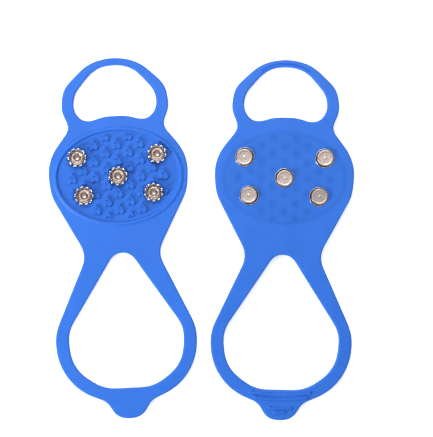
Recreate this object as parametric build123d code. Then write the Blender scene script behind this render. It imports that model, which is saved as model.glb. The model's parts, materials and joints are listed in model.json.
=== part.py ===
from build123d import *
import os
from math import asin, atan2, cos, degrees, hypot, pi, sin, sqrt

# A pair of slip-on shoe ice cleats, lying side by side. The left one shows its spikes, and the right
# one is turned over and shows the rivet heads.
#
# Each cleat has its own frame: the origin is the middle spike's centre on the face that lies against
# the shoe, +X is across the foot, +Y points at the toe and +Z points at the ground. A cleat is one
# silicone moulding in real life. Here it is cut across its two necks into a tread pad, a toe loop and
# a heel loop, so that the two loops can bend, and each cut is a thin hinge line.

# Silicone moulding, millimetres
strap_thickness = 3.0
edge_radius = 0.7
field_floor = 2.6
raised_top = 3.8
rim_outer = (33.0, 25.3)
rim_inner = (30.0, 22.4)

# Outline of the moulding as (x, y, corner radius), right half only, from the heel tab to the toe tip
outline = [
    (6.3, -120.7, 8.0),
    (10.9, -112.2, 6.0),
    (34.2, -102.7, 29.0),
    (35.4, -77.2, 22.8),
    (17.8, -38.8, 11.0),
    (33.8, -8.5, 18.0),
    (35.4, 8.5, 22.8),
    (23.1, 24.8, 4.1),
    (26.9, 33.4, 10.6),
    (25.7, 44.4, 12.6),
    (12.6, 57.0, 21.6),
    (0.0, 59.5, 25.0),
]
heel_opening = [
    (12.5, -105.6, 18.7),
    (27.3, -94.9, 18.8),
    (29.1, -76.9, 16.3),
    (4.0, -38.3, 6.0),
]
toe_opening = [
    (5.9, 30.0, 18.0),
    (12.5, 27.9, 5.0),
    (17.3, 28.3, 6.2),
    (20.9, 34.4, 6.7),
    (19.9, 42.0, 8.7),
    (8.6, 55.4, 16.0),
]

# Lines across the necks where the loops bend, and the gap that parts a loop's round end from the pad
toe_hinge_y = 32.0
heel_hinge_y = -45.0
hinge_gap = 0.25

# Tread lugs in a staggered lattice: each has a point towards the toe and a round heel end
lug_column = 5.7
lug_pitch = 8.1
lug_first_point = 18.9
lug_length = 5.4
lug_radius = 2.2
lug_field = (27.5, 21.0)
lug_spike_gap = 4.4

# Grip ribs under the heel tab as (middle y, end y, half length), and the groove round the toe loop
tab_ribs = [(-107.7, -106.9, 15.2), (-110.1, -109.1, 15.2), (-114.6, -114.4, 5.7), (-116.8, -116.7, 2.4)]
rib_width = 1.5
rib_height = 0.8
toe_groove = [(-12.8, 53.3), (0.0, 56.6), (12.8, 53.3)]
groove_width = 1.2
groove_depth = 0.5

# Spikes: where they stand, then the crown, the rivet that holds it and the washer under the head
spike_places = [(-19.9, 10.1), (19.9, 10.1), (0.0, 0.0), (-17.3, -9.0), (17.3, -9.0)]
shank_radius = 2.2
shank_clearance = 0.05
crown_base_radius = 3.9
crown_tip_radius = 4.75
crown_sheet = 0.7
crown_tip = 5.9
crown_teeth = 10
crown_notch_rise = 0.4
crown_notch_foot = 0.87
crown_notch_mouth = 2.6
crown_seat_radius = 4.9
crown_seat_depth = 0.1
head_radius = 4.2
head_edge_radius = 0.35
head_height = 1.0
rolled_rim_radius = 2.85
rolled_rim_height = 0.7
rolled_rim_rounding = 0.49
rivet_bore_radius = 1.6
rivet_bore_floor = 0.6
washer_radius = 4.7
washer_thickness = 0.6
washer_chamfer = 0.12
washer_seat_radius = 4.8

# Construction sizes: how far a cut runs past the solid it cuts, and boxes and bars that span a cleat
cut_overrun = 1.0
lug_root = 0.1
span = 200.0
loop_end_length = 80.0

# How the pair lies: pad centres and turns, in degrees counter-clockwise from above
left_place = (-41.3, 0.5, 2.8)
right_place = (41.3, -0.5, -1.1)

# Worked out from the values above
mid_height = strap_thickness / 2
washer_half = washer_thickness / 2
head_underside = -washer_half
head_top = head_underside - head_height
crown_base = field_floor - crown_seat_depth
crown_floor = crown_base + crown_sheet
hole_radius = shank_radius + shank_clearance
left_height = -head_top
right_height = crown_tip


def mirrored(corners):
    """The corners of both halves, in order, from those of the right half."""
    left_half = [(-x, y, radius) for x, y, radius in reversed(corners) if x > 0]
    return corners + left_half


def rounded_face(corners):
    """A flat face whose outline is straight runs joined by tangent arcs."""
    points = [Vector(x, y) for x, y, _ in corners]
    starts = []
    ends = []
    edges = []
    for i, (_, _, radius) in enumerate(corners):
        corner = points[i]
        before = (points[i - 1] - corner).normalized()
        after = (points[(i + 1) % len(points)] - corner).normalized()
        half_angle = before.get_angle(after) / 2 * pi / 180
        reach = radius * cos(half_angle) / sin(half_angle)
        middle = (before + after).normalized() * (radius / sin(half_angle) - radius)
        starts.append(corner + before * reach)
        ends.append(corner + after * reach)
        edges.append(ThreePointArc(starts[-1], corner + middle, ends[-1]))
    for i, end in enumerate(ends):
        edges.append(Line(end, starts[(i + 1) % len(starts)]))
    return make_face(edges)


def disc(radius, bottom, top, place=(0.0, 0.0)):
    """A round plate standing at a place, from one height to another."""
    plate = Cylinder(radius, top - bottom, align=(Align.CENTER, Align.CENTER, Align.MIN))
    return Pos(place[0], place[1], bottom) * plate


def oval(semi_axes, bottom, top):
    """An elliptic plate about the middle spike, from one height to another."""
    return Pos(0, 0, bottom) * extrude(Ellipse(*semi_axes), amount=top - bottom)


def beyond(y, side):
    """A box that holds everything past y, towards the toe (side 1) or the heel (side -1)."""
    return Pos(0, y + side * span / 2, 0) * Box(span, span, span)


def lug_outline(x, y):
    """A drop shape whose point is at x, y and whose round end is towards the heel."""
    centre_y = y - lug_length + lug_radius
    to_centre = y - centre_y
    side_x = lug_radius * sqrt(1 - (lug_radius / to_centre) ** 2)
    side_y = centre_y + lug_radius**2 / to_centre
    return make_face(
        [
            Line((x, y), (x - side_x, side_y)),
            ThreePointArc((x - side_x, side_y), (x, y - lug_length), (x + side_x, side_y)),
            Line((x + side_x, side_y), (x, y)),
        ]
    )


def lug_points():
    """Every lattice point whose lug has its middle inside the field and clear of the spikes."""
    points = []
    for column in range(-4, 5):
        first = lug_first_point + (lug_pitch / 2 if column % 2 else 0)
        for row in range(6):
            x = column * lug_column
            y = first - row * lug_pitch
            centre = y - lug_length / 2
            inside = (x / lug_field[0]) ** 2 + (centre / lug_field[1]) ** 2 < 1
            clear = all(hypot(x - px, centre - py) > lug_spike_gap for px, py in spike_places)
            if inside and clear:
                points.append((x, y))
    return points


def moulding_blank():
    """The whole silicone moulding with its two openings and rounded edges, before any detail."""
    face = rounded_face(mirrored(outline))
    face = face - rounded_face(mirrored(heel_opening))
    face = face - rounded_face(mirrored(toe_opening))
    blank = extrude(face, amount=strap_thickness)
    flat_edges = blank.faces().filter_by(Axis.Z).edges()
    return fillet(flat_edges, edge_radius)


def tread_pad(blank):
    """The pad under the sole: rim, sunk field, lugs and the seats and holes of the spikes."""
    pad = blank - beyond(toe_hinge_y - mid_height - hinge_gap, 1)
    pad = pad - beyond(heel_hinge_y + mid_height + hinge_gap, -1)
    pad = pad + oval(rim_outer, mid_height, raised_top)
    pad = pad - oval(rim_inner, field_floor, raised_top + cut_overrun)
    lug_limit = oval(lug_field, field_floor - lug_root, raised_top)
    pad = pad + [extrude(lug_outline(x, y), amount=raised_top) & lug_limit for x, y in lug_points()]
    for place in spike_places:
        pad = pad - disc(hole_radius, -cut_overrun, raised_top + cut_overrun, place)
        pad = pad - disc(washer_seat_radius, -cut_overrun, washer_half, place)
        pad = pad - disc(crown_seat_radius, crown_base, raised_top + cut_overrun, place)
    return pad


def loop_end(hinge_y):
    """The round end that a loop has on its hinge line."""
    return Pos(0, hinge_y, mid_height) * Rot(0, 90, 0) * Cylinder(mid_height, loop_end_length)


def toe_loop(blank):
    """The loop that goes over the toe, with the groove along its inner face."""
    loop = blank & (beyond(toe_hinge_y, 1) + loop_end(toe_hinge_y))
    groove = trace(ThreePointArc(*toe_groove), line_width=groove_width)
    return loop - Pos(0, 0, -cut_overrun) * extrude(groove, amount=cut_overrun + groove_depth)


def heel_loop(blank):
    """The loop that goes behind the heel, with the grip ribs on its pull tab."""
    loop = blank & (beyond(heel_hinge_y, -1) + loop_end(heel_hinge_y))
    for middle_y, end_y, half_length in tab_ribs:
        arc = ThreePointArc((-half_length, end_y), (0, middle_y), (half_length, end_y))
        rib = extrude(trace(arc, line_width=rib_width), amount=rib_height + mid_height)
        loop = loop + Pos(0, 0, -rib_height) * rib
    return loop


def crown():
    """A toothed steel cup, open towards the ground, with a hole for the rivet."""
    profile = Polyline(
        (hole_radius, crown_base),
        (crown_base_radius, crown_base),
        (crown_tip_radius, crown_tip),
        (crown_tip_radius - crown_sheet, crown_tip),
        (crown_base_radius - crown_sheet, crown_floor),
        (hole_radius, crown_floor),
        close=True,
    )
    cup = revolve(make_face(Plane.XZ * profile), Axis.Z)
    notch_floor = crown_floor + crown_notch_rise
    notch_face = Plane.YZ * make_face(
        Polyline(
            (-crown_notch_foot / 2, notch_floor),
            (crown_notch_foot / 2, notch_floor),
            (crown_notch_mouth / 2, crown_tip + cut_overrun),
            (-crown_notch_mouth / 2, crown_tip + cut_overrun),
            close=True,
        )
    )
    notch = extrude(notch_face, amount=crown_tip_radius + cut_overrun)
    for tooth in range(crown_teeth):
        cup = cup - Rot(0, 0, 360 / crown_teeth * tooth) * notch
    return cup


def rivet():
    """A tubular rivet: a wide rounded head under the shoe, a shank and a rolled rim in the crown."""
    head = disc(head_radius, head_top, head_underside)
    outer_edges = head.edges().filter_by(GeomType.CIRCLE).sort_by(Axis.Z)[0]
    head = fillet(outer_edges, head_edge_radius)
    shank = disc(shank_radius, head_underside, crown_floor)
    rim = disc(rolled_rim_radius, crown_floor, crown_floor + rolled_rim_height)
    rim = fillet(rim.edges().filter_by(GeomType.CIRCLE).sort_by(Axis.Z)[-1], rolled_rim_rounding)
    bore = disc(rivet_bore_radius, rivet_bore_floor, crown_tip)
    return head + shank + rim - bore


def washer():
    """A flat steel ring that spreads the head's load over the silicone."""
    ring = disc(washer_radius, -washer_half, washer_half)
    ring = chamfer(ring.edges().filter_by(GeomType.CIRCLE), washer_chamfer)
    return ring - disc(hole_radius, -cut_overrun, cut_overrun)


def droop(height, contacts):
    """The angle in degrees at which a loop, straight from its hinge, comes down to the floor.

    Each contact is a point of the loop as its distance from the hinge and its depth below it.
    """
    return min(degrees(asin(height / hypot(reach, depth)) - atan2(depth, reach)) for reach, depth in contacts)


def bent(loop, hinge_y, angle):
    """A loop turned about its hinge line."""
    return loop.rotate(Axis((0, hinge_y, mid_height), (1, 0, 0)), angle)


def cleat_parts(side, toe_angle, heel_angle):
    """Every piece of one cleat, by name, in the cleat's own frame."""
    blank = moulding_blank()
    parts = {
        f"{side}_tread_pad": tread_pad(blank),
        f"{side}_toe_loop": bent(toe_loop(blank), toe_hinge_y, toe_angle),
        f"{side}_heel_loop": bent(heel_loop(blank), heel_hinge_y, heel_angle),
    }
    for number, (x, y) in enumerate(spike_places, start=1):
        parts[f"{side}_crown_{number}"] = Pos(x, y, 0) * crown()
        parts[f"{side}_rivet_{number}"] = Pos(x, y, 0) * rivet()
        parts[f"{side}_washer_{number}"] = Pos(x, y, 0) * washer()
    return parts


# Droop of the loops at rest: the left cleat lies on its rivet heads, the right one on its crowns
toe_reach = outline[-1][1] - toe_hinge_y
tab_reach = heel_hinge_y - outline[0][1]
rib_reach = heel_hinge_y - tab_ribs[-1][0] + rib_width / 2
left_hinge_height = left_height + mid_height
right_hinge_height = right_height - mid_height
left_toe_droop = droop(left_hinge_height, [(toe_reach, mid_height)])
left_heel_droop = droop(
    left_hinge_height, [(tab_reach, mid_height), (rib_reach, mid_height + rib_height)]
)
right_toe_droop = droop(right_hinge_height, [(toe_reach, mid_height)])
right_heel_droop = droop(right_hinge_height, [(tab_reach, mid_height)])

left_frame = Pos(left_place[0], left_place[1], left_height) * Rot(0, 0, left_place[2])
right_frame = Pos(right_place[0], right_place[1], right_height) * Rot(0, 0, right_place[2]) * Rot(0, 180, 0)

pieces = {}
for name, piece in cleat_parts("left", -left_toe_droop, left_heel_droop).items():
    pieces[name] = left_frame * piece
for name, piece in cleat_parts("right", right_toe_droop, -right_heel_droop).items():
    pieces[name] = right_frame * piece

# The part's origin is the middle of the pair's footprint, on the floor
pair_box = Compound([piece.solid() for piece in pieces.values()]).bounding_box()
footprint_middle = pair_box.center()
to_origin = Pos(-footprint_middle.X, -footprint_middle.Y, -pair_box.min.Z)

os.makedirs("parts", exist_ok=True)
for name, piece in pieces.items():
    export_step((to_origin * piece).solid(), f"parts/{name}.step")
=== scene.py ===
import json
import logging
import math
from dataclasses import dataclass, field
from enum import Enum
from typing import Callable, Sequence, Union

import bmesh
import bpy
import numpy as np
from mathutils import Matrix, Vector
from mathutils.geometry import delaunay_2d_cdt


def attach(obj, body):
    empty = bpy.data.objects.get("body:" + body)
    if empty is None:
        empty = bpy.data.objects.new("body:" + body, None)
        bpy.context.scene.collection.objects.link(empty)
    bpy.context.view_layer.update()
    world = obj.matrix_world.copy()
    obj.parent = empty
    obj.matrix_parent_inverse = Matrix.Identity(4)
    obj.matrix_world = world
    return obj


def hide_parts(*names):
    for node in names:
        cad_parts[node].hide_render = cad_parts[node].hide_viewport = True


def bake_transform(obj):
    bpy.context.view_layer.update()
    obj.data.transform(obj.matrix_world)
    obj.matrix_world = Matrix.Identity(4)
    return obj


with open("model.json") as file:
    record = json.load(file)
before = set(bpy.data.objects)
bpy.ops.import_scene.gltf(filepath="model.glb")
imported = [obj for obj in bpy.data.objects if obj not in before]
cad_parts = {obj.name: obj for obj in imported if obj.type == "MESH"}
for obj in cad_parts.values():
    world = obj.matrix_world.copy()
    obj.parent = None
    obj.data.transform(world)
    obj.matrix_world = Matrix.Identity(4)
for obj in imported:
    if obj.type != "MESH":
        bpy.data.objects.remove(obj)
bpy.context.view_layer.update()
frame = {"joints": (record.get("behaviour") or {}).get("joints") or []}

# A pair of slip-on shoe ice cleats: blue silicone mouldings with five toothed steel spikes each.
#
# Shapes are worked out in each cleat's own frame, in millimetres: the origin is the middle spike's
# centre on the face that lies against the shoe, +X is across the foot, +Y points at the toe and +Z
# points at the ground. A cleat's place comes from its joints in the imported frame.

log = logging.getLogger("cleats")

METRES = 0.001

# How the points of outlines and profiles are spread
ARC_STEPS = 5
ROUND_END_STEPS = 8
FEWEST_STEPS = 6
BLUR_REACH = 3
ROW_SHARE = 0.87

# Points nearer than SAME_POINT are one point, and TINY keeps a length above zero
SAME_POINT = 1e-7
TINY = 1e-12

# What the triangle maker is asked for: every triangle inside the points' hull
WHOLE_HULL = 0

# A height's play when points are chosen by height, in millimetres
HEIGHT_MARGIN = 0.01

# How many points are measured against an edge at a time, to save memory
BLOCK = 2000

# The attribute that carries a mesh's marks: see-through darkening, painted shade and painted glints
MARK = "mark"

# Steel edges that turn more than this stay crisp
CREASE_DEGREES = 38.0

Corner = tuple[float, float, float]
Corners = tuple[Corner, ...]
Colour = tuple[float, float, float]
Spot = tuple[float, float]
Spots = tuple[Spot, ...]
Test = Callable[[np.ndarray], np.ndarray]


class Side(Enum):
    """Which cleat of the pair a piece belongs to."""

    LEFT = "left"
    RIGHT = "right"


class Metal(Enum):
    """The steel pieces of a spike, by the name their nodes and slots carry."""

    CROWN = "crown"
    RIVET = "rivet"
    WASHER = "washer"


# --- Plan geometry ---


def unit(vectors: np.ndarray) -> np.ndarray:
    """The same vectors at length one."""
    return vectors / np.linalg.norm(vectors, axis=-1, keepdims=True)


def smoothstep(values: Union[np.ndarray, float]) -> np.ndarray:
    """A soft ramp from 0 to 1 as the values go from 0 to 1."""
    share = np.clip(values, 0.0, 1.0)
    return share * share * (3 - 2 * share)


def corner_arc(before: np.ndarray, corner: np.ndarray, after: np.ndarray, radius: float) -> tuple:
    """The arc that rounds one corner of a path.

    Args:
        before: the path's point before the corner.
        corner: the corner.
        after: the path's point after the corner.
        radius: the arc's radius.

    Returns:
        The arc's centre, its first angle and the angle it turns through.
    """
    to_before = unit(before - corner)
    to_after = unit(after - corner)
    half = math.acos(max(-1.0, min(1.0, float(to_before @ to_after)))) / 2
    centre = corner + unit(to_before + to_after) * radius / math.sin(half)
    reach = radius / math.tan(half)
    first = corner + to_before * reach - centre
    last = corner + to_after * reach - centre
    start = math.atan2(first[1], first[0])
    turn = math.atan2(last[1], last[0]) - start
    turn = (turn + math.pi) % (2 * math.pi) - math.pi
    return centre, start, turn


def on_circle(centre: np.ndarray, radius: float, angles: np.ndarray) -> np.ndarray:
    """Points of a circle at the given angles."""
    return centre + radius * np.stack([np.cos(angles), np.sin(angles)], axis=1)


@dataclass(frozen=True)
class Outline:
    """A closed outline, symmetric about the y axis, of straight runs joined by tangent arcs.

    Its corners are (x, y, radius) of the right half, in the order that keeps the inside on the left.
    """

    corners: Corners

    def all_corners(self) -> np.ndarray:
        """The corners of both halves, in order."""
        left = [(-x, y, radius) for x, y, radius in reversed(self.corners) if x > 0]
        return np.array(list(self.corners) + left)

    def points(self, step: float) -> np.ndarray:
        """Points along the whole outline.

        Args:
            step: the longest distance between two points.

        Returns:
            The points as rows of x, y.
        """
        corners = self.all_corners()
        arcs = []
        for i, (x, y, radius) in enumerate(corners):
            after = corners[(i + 1) % len(corners), :2]
            centre, start, turn = corner_arc(corners[i - 1, :2], np.array([x, y]), after, radius)
            count = max(2, math.ceil(abs(turn) * radius / step))
            arcs.append(on_circle(centre, radius, start + turn * np.arange(count + 1) / count))
        runs = []
        for i, arc in enumerate(arcs):
            run = arcs[(i + 1) % len(arcs)][0] - arc[-1]
            count = max(1, math.ceil(float(np.linalg.norm(run)) / step))
            runs.append(arc)
            runs.append(arc[-1] + run * (np.arange(1, count) / count)[:, None])
        return np.vstack(runs)


def softened(points: np.ndarray, step: float, blur: float) -> np.ndarray:
    """A closed outline with its changes of curvature evened out, at its own size.

    Args:
        points: the outline's points, in order.
        step: how far apart the new points are, about.
        blur: the length over which the curvature is evened out.

    Returns:
        The new outline's points.
    """
    closed = np.vstack([points, points[:1]])
    lengths = np.linalg.norm(np.diff(closed, axis=0), axis=1)
    travel = np.concatenate([[0.0], np.cumsum(lengths)])
    count = round(travel[-1] / step)
    stops = np.arange(count) / count * travel[-1]
    even = np.stack([np.interp(stops, travel, closed[:, axis]) for axis in (0, 1)], axis=1)
    reach = math.ceil(BLUR_REACH * blur / step)
    shifts = np.arange(-reach, reach + 1)
    weights = np.exp(-((shifts * step / blur) ** 2) / 2)
    weights = weights / weights.sum()
    once = sum(weight * np.roll(even, shift, axis=0) for weight, shift in zip(weights, shifts))
    twice = sum(weight * np.roll(once, shift, axis=0) for weight, shift in zip(weights, shifts))
    return 2 * once - twice


def outward(points: np.ndarray) -> np.ndarray:
    """The direction out of a closed outline at each of its points."""
    along = unit(np.roll(points, -1, axis=0) - np.roll(points, 1, axis=0))
    return np.stack([along[:, 1], -along[:, 0]], axis=1)


def inside(points: np.ndarray, outline: np.ndarray) -> np.ndarray:
    """Tells which points lie inside a closed outline.

    Args:
        points: rows of x, y.
        outline: the outline's points, in order.

    Returns:
        One truth value for each point.
    """
    result = np.zeros(len(points), bool)
    x, y = points[:, 0], points[:, 1]
    for (x0, y0), (x1, y1) in zip(outline, np.roll(outline, -1, axis=0)):
        if y0 == y1:
            continue
        crosses = (y0 > y) != (y1 > y)
        result ^= crosses & (x < x0 + (y - y0) * (x1 - x0) / (y1 - y0))
    return result


def oval(semi_x: float, semi_y: float, step: float) -> np.ndarray:
    """Points round an ellipse about the origin.

    Args:
        semi_x: half its width.
        semi_y: half its height.
        step: about how far apart the points are.

    Returns:
        Rows of x, y.
    """
    count = math.ceil(math.pi * (semi_x + semi_y) / step)
    angles = np.arange(count) / count * 2 * math.pi
    return np.stack([semi_x * np.cos(angles), semi_y * np.sin(angles)], axis=1)


def clear_of(spots: np.ndarray, places: Sequence[Spot], reach: float) -> np.ndarray:
    """Tells which points are further than a reach from every one of some places.

    Args:
        spots: rows of x, y.
        places: the x and y of each place.
        reach: the distance to keep.

    Returns:
        One truth value for each point.
    """
    clear = np.ones(len(spots), bool)
    for x, y in places:
        clear &= np.hypot(spots[:, 0] - x, spots[:, 1] - y) > reach
    return clear


def oval_share(points: np.ndarray, semi_x: float, semi_y: float) -> np.ndarray:
    """How far out each point lies: 0 at the ellipse's centre and 1 on its edge."""
    return np.hypot(points[:, 0] / semi_x, points[:, 1] / semi_y)


def bowed_line(middle_y: float, end_y: float, half_length: float, step: float) -> np.ndarray:
    """The points of a gently bowed line that is symmetric about the y axis.

    Args:
        middle_y: y at the line's middle.
        end_y: y at its ends.
        half_length: x at its right end.
        step: the longest distance between two points.

    Returns:
        Rows of x, y from left to right.
    """
    count = max(FEWEST_STEPS, math.ceil(half_length / step))
    along = np.linspace(-half_length, half_length, 2 * count + 1)
    return np.stack([along, middle_y + (end_y - middle_y) * (along / half_length) ** 2], axis=1)


def bar(line: np.ndarray, half_width: float) -> np.ndarray:
    """The outline of a bar with round ends.

    Args:
        line: the bar's centre line, from left to right.
        half_width: half the bar's width.

    Returns:
        The outline's points, with the inside on the left.
    """
    heading = unit(np.gradient(line, axis=0))
    across = np.stack([heading[:, 1], -heading[:, 0]], axis=1) * half_width
    turn = np.linspace(-math.pi / 2, math.pi / 2, ROUND_END_STEPS + 1)[1:-1]
    right_end = on_circle(line[-1], half_width, turn + math.atan2(heading[-1, 1], heading[-1, 0]))
    left_end = on_circle(line[0], half_width, turn + math.atan2(-heading[0, 1], -heading[0, 0]))
    return np.vstack([line + across, right_end, (line - across)[::-1], left_end])


def grid(low: Spot, high: Spot, step: float) -> np.ndarray:
    """Staggered points that fill a rectangle.

    Args:
        low: the rectangle's lower left corner.
        high: its upper right corner.
        step: how far apart the points of a row are.

    Returns:
        Rows of x, y.
    """
    rows = np.arange(low[1], high[1], step * ROW_SHARE)
    columns = np.arange(low[0], high[0], step)
    x, y = np.meshgrid(columns, rows)
    x = x + np.where(np.arange(len(rows)) % 2, step / 2, 0.0)[:, None]
    return np.stack([x.ravel(), y.ravel()], axis=1)


# --- Mesh making ---


@dataclass
class Skin:
    """A closed surface that is put together from rings, walls and filled faces."""

    points: list[np.ndarray] = field(default_factory=list)
    faces: list[tuple[int, ...]] = field(default_factory=list)
    count: int = 0

    def ring(self, plan: np.ndarray, height: Union[float, np.ndarray]) -> np.ndarray:
        """Adds points at a height.

        Args:
            plan: rows of x, y.
            height: one height for all of them, or one for each.

        Returns:
            The numbers of the added points.
        """
        heights = np.broadcast_to(np.asarray(height, float), (len(plan),))
        self.points.append(np.column_stack([plan, heights]))
        numbers = np.arange(self.count, self.count + len(plan))
        self.count += len(plan)
        return numbers

    def wall(self, lower: np.ndarray, upper: np.ndarray, hole: bool) -> None:
        """Joins two rings of as many points with a band of faces.

        Args:
            lower: the ring nearer the shoe.
            upper: the ring nearer the ground.
            hole: whether the material is outside the rings.
        """
        for a, b, c, d in zip(lower, np.roll(lower, -1), np.roll(upper, -1), upper):
            face = (int(a), int(b), int(c), int(d))
            self.faces.append(face[::-1] if hole else face)

    def fill(self, rings: list[np.ndarray], loose: np.ndarray, keep: Test, ground: bool) -> None:
        """Covers the space between rings with triangles that follow every ring.

        Args:
            rings: closed rings of point numbers, which the triangles don't cross.
            loose: numbers of further points that the triangles meet at.
            keep: takes rows of x, y and tells which of them the material covers.
            ground: whether the face looks at the ground.
        """
        numbers = np.concatenate([*rings, loose])
        plan = np.vstack(self.points)[numbers][:, :2]
        edges = []
        first = 0
        for ring in rings:
            spots = list(range(first, first + len(ring)))
            edges += list(zip(spots, spots[1:] + spots[:1]))
            first += len(ring)
        made = delaunay_2d_cdt([Vector(p) for p in plan], edges, [], WHOLE_HULL, SAME_POINT, True)
        spots = np.array([tuple(v) for v in made[0]])
        triangles, sources = made[2], made[3]
        if not all(sources):
            crossing = [np.round(spot, 1).tolist() for spot, source in zip(spots, sources) if not source]
            raise ValueError(f"two rings of the moulding cross at {crossing}")
        corners = np.array([t[:3] for t in triangles])
        kept = keep(spots[corners].mean(axis=1))
        for corner in corners[kept]:
            face = tuple(int(numbers[sources[spot][0]]) for spot in corner)
            self.faces.append(face if ground else face[::-1])


@dataclass
class Shape:
    """Finished points and faces of one piece, with a direction and a mark at each point."""

    points: np.ndarray
    faces: list[tuple[int, ...]]
    normals: Union[np.ndarray, None] = None
    marks: Union[np.ndarray, None] = None

    def part(self, wanted: Test, places: np.ndarray) -> "Shape":
        """Some of the faces, as a shape of their own.

        Args:
            wanted: takes the faces' middles and tells which faces to keep.
            places: where each point counts as lying when the faces are chosen.

        Returns:
            The kept faces with only the points they use.
        """
        middles = np.array([places[list(face)].mean(axis=0) for face in self.faces])
        faces = [face for face, kept in zip(self.faces, wanted(middles)) if kept]
        used = np.unique(np.concatenate([np.array(face) for face in faces]))
        new_number = {int(old): new for new, old in enumerate(used)}
        return Shape(
            self.points[used],
            [tuple(new_number[n] for n in face) for face in faces],
            None if self.normals is None else self.normals[used],
            None if self.marks is None else self.marks[used],
        )

    def weigh_normals(self) -> None:
        """Gives each point the direction of the faces round it, the large ones counting most."""
        totals = np.zeros_like(self.points)
        for size in (3, 4):
            corners = np.array([face for face in self.faces if len(face) == size])
            if not len(corners):
                continue
            spots = self.points[corners]
            across = np.cross(spots[:, 1] - spots[:, 0], spots[:, 2] - spots[:, 0])
            if size == 4:
                across = across + np.cross(spots[:, 2] - spots[:, 0], spots[:, 3] - spots[:, 0])
            for column in range(size):
                np.add.at(totals, corners[:, column], across)
        self.normals = unit(totals + TINY)


def lathe(radii: np.ndarray, heights: np.ndarray, angles: np.ndarray) -> Shape:
    """Turns profiles about the z axis.

    Args:
        radii: radii of the profile's points, one row for each angle.
        heights: heights of the same points.
        angles: the angle of each row, once round.

    Returns:
        The turned surface, closed round the axis.
    """
    x = radii * np.cos(angles)[:, None]
    y = radii * np.sin(angles)[:, None]
    points = np.stack([x, y, heights], axis=-1).reshape(-1, 3)
    rows, columns = radii.shape
    faces = []
    for row in range(rows):
        here, there = row * columns, (row + 1) % rows * columns
        for a in range(columns - 1):
            faces.append((here + a, there + a, there + a + 1, here + a + 1))
    return Shape(points, faces)


def profile(corners: Corners) -> np.ndarray:
    """A path of straight runs joined by arcs, with the same number of points whatever its size.

    Args:
        corners: (radius from the axis, height, corner radius) along the path.

    Returns:
        The path's points as rows of radius, height.
    """
    spots = np.array([corner[:2] for corner in corners])
    path = [spots[:1]]
    for i in range(1, len(spots) - 1):
        radius = corners[i][2]
        centre, start, turn = corner_arc(spots[i - 1], spots[i], spots[i + 1], radius)
        path.append(on_circle(centre, radius, start + turn * np.arange(ARC_STEPS + 1) / ARC_STEPS))
    path.append(spots[-1:])
    return np.vstack(path)


def make_object(name: str, shape: Shape, material: bpy.types.Material) -> bpy.types.Object:
    """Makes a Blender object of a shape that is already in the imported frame.

    Args:
        name: the object's name.
        shape: its points and faces.
        material: its one material.

    Returns:
        The new object.
    """
    mesh = bpy.data.meshes.new(name)
    mesh.from_pydata(shape.points.tolist(), [], shape.faces)
    mesh.materials.append(material)
    if shape.marks is not None:
        marks = mesh.attributes.new(MARK, "FLOAT", "POINT")
        marks.data.foreach_set("value", shape.marks.astype(np.float32))
    mesh.shade_smooth()
    if shape.normals is not None:
        mesh.normals_split_custom_set_from_vertices(shape.normals.tolist())
    piece = bpy.data.objects.new(name, mesh)
    bpy.context.scene.collection.objects.link(piece)
    return piece


def weld(piece: bpy.types.Object) -> None:
    """Joins points that lie on each other and keeps the sharper edges crisp.

    Args:
        piece: the object to change.
    """
    work = bmesh.new()
    work.from_mesh(piece.data)
    bmesh.ops.remove_doubles(work, verts=work.verts, dist=SAME_POINT)
    bmesh.ops.dissolve_degenerate(work, dist=SAME_POINT, edges=work.edges)
    bmesh.ops.recalc_face_normals(work, faces=work.faces)
    work.to_mesh(piece.data)
    work.free()
    piece.data.set_sharp_from_angle(angle=math.radians(CREASE_DEGREES))


# --- Shaders ---


class Wire:
    """An output socket that can be used in arithmetic."""

    def __init__(self, bench: "Bench", socket: Union[bpy.types.NodeSocket, None]) -> None:
        """Keeps the socket and the bench that adds its nodes."""
        self.bench = bench
        self.socket = socket

    def maths(self, operation: str, first: "Value", second: "Value") -> "Wire":
        """One Math node of two values."""
        return self.bench.add("ShaderNodeMath", {"operation": operation}, {0: first, 1: second})

    def __add__(self, other: "Value") -> "Wire":
        """This plus another."""
        return self.maths("ADD", self, other)

    def __radd__(self, other: "Value") -> "Wire":
        """Another plus this."""
        return self.maths("ADD", other, self)

    def __sub__(self, other: "Value") -> "Wire":
        """This less another."""
        return self.maths("SUBTRACT", self, other)

    def __rsub__(self, other: "Value") -> "Wire":
        """Another less this."""
        return self.maths("SUBTRACT", other, self)

    def __mul__(self, other: "Value") -> "Wire":
        """This times another."""
        return self.maths("MULTIPLY", self, other)

    def __rmul__(self, other: "Value") -> "Wire":
        """Another times this."""
        return self.maths("MULTIPLY", other, self)

    def limited(self) -> "Wire":
        """This, kept between 0 and 1."""
        return self.bench.add("ShaderNodeClamp", {}, {"Value": self, "Min": 0.0, "Max": 1.0})


Value = Union[Wire, float, tuple]

# The Mix node's sockets for colours, by number, because its sockets for numbers have the same names
MIX_SHARE = 0
MIX_FIRST = 6
MIX_SECOND = 7
MIX_RESULT = 2


@dataclass(frozen=True)
class Pattern:
    """A soft noise: its lumps' size in mm, its finer layers, and how dense it is along each axis."""

    size: float
    detail: float
    density: Colour = (1.0, 1.0, 1.0)


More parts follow.
